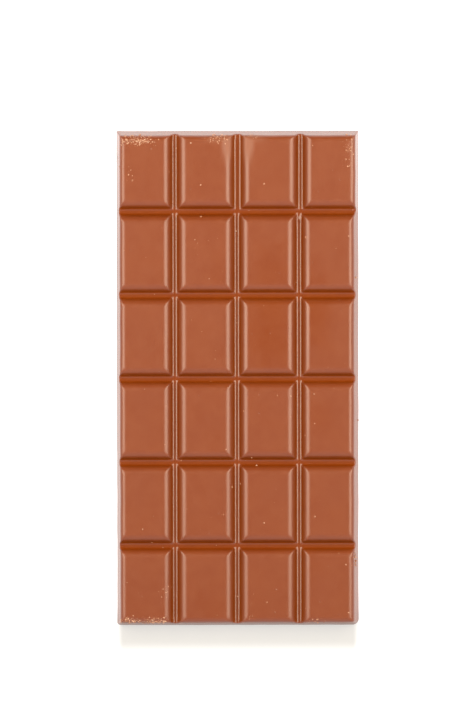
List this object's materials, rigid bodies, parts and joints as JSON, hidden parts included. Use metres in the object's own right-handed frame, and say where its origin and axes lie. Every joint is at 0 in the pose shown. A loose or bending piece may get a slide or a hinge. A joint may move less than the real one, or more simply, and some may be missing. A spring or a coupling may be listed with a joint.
{
  "type": "chocolate bar",
  "caption": "Flat rectangular moulded milk chocolate bar with drafted edges, its face scored by straight grooves into a grid of bevelled pieces for breaking off.",
  "frame": {"origin": "middle of the flat back face that the bar lies on", "axes": "+Z out of the moulded face, +Y along the bar's length, +X across its width"},
  "size_m": [0.0772, 0.158, 0.007],
  "materials": {
    "milk_chocolate": "moulded milk chocolate with a soft satin shine"
  },
  "bodies": {
    "root": {"chocolate_bar": "milk_chocolate"}
  },
  "joints": []
}
